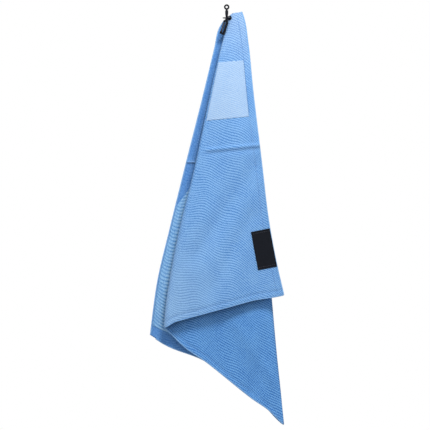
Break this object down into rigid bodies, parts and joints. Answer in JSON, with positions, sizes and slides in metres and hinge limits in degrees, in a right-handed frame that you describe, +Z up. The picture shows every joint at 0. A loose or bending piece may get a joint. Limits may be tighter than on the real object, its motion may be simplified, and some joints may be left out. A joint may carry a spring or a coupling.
{
  "type": "quick dry towel",
  "caption": "Square ribbed quick-dry towel folded in three as it hangs from a corner grommet, with a ring and a swivel snap clip.",
  "frame": {"origin": "centre of the hanging eye's bore", "axes": "+Z up, -Y towards the viewer of the towel's front, +X to that viewer's right"},
  "size_m": [0.189, 0.0368, 0.5951],
  "materials": {
    "towel_cloth": "ribbed microfibre, light blue",
    "hem_cloth": "turned and stitched microfibre hem",
    "label_cloth": "black woven label",
    "label_thread": "black thread",
    "black_metal": "black coated, satin",
    "gate_metal": "black coated, worn to grey at the edges",
    "spring_steel": "bright wire"
  },
  "bodies": {
    "eye": {"hang_eye": "black_metal"},
    "clip": {"clip_frame": "black_metal", "gate_pin": "gate_metal", "gate_spring": "spring_steel"},
    "gate": {"gate": "gate_metal"},
    "ring": {"link_ring": "black_metal"},
    "towel": {"main_cloth": "towel_cloth", "front_side_hem": "hem_cloth", "front_bottom_hem": "hem_cloth", "middle_hem": "hem_cloth", "rear_side_hem": "hem_cloth", "rear_bottom_hem": "hem_cloth", "rear_cross_seam": "hem_cloth", "side_label": "label_cloth", "label_stitches": "label_thread", "grommet_barrel": "black_metal", "grommet_washer": "black_metal"}
  },
  "joints": [
    {"name": "clip_swivel", "type": "hinge", "parent": "eye", "child": "clip", "pos_m": [0, 0, -0.0092], "axis": [0, 0, 1], "continuous": true},
    {"name": "gate_open", "type": "hinge", "parent": "clip", "child": "gate", "pos_m": [-0.00783, -0.00149, -0.03462], "axis": [-0.5455, 0.8192, 0.1772], "range_deg": [0, 11], "stiffness_Nm_per_rad": 0.0008, "springref_deg": -5.73},
    {"name": "ring_tilt", "type": "hinge", "parent": "clip", "child": "ring", "pos_m": [-0.00027, -0.0021, -0.0152], "axis": [1, 0, 0], "range_deg": [0, 20]},
    {"name": "towel_swing", "type": "hinge", "parent": "ring", "child": "towel", "pos_m": [0.004, 0.0049, -0.0152], "axis": [0, 1, 0], "range_deg": [-20, 20]}
  ]
}
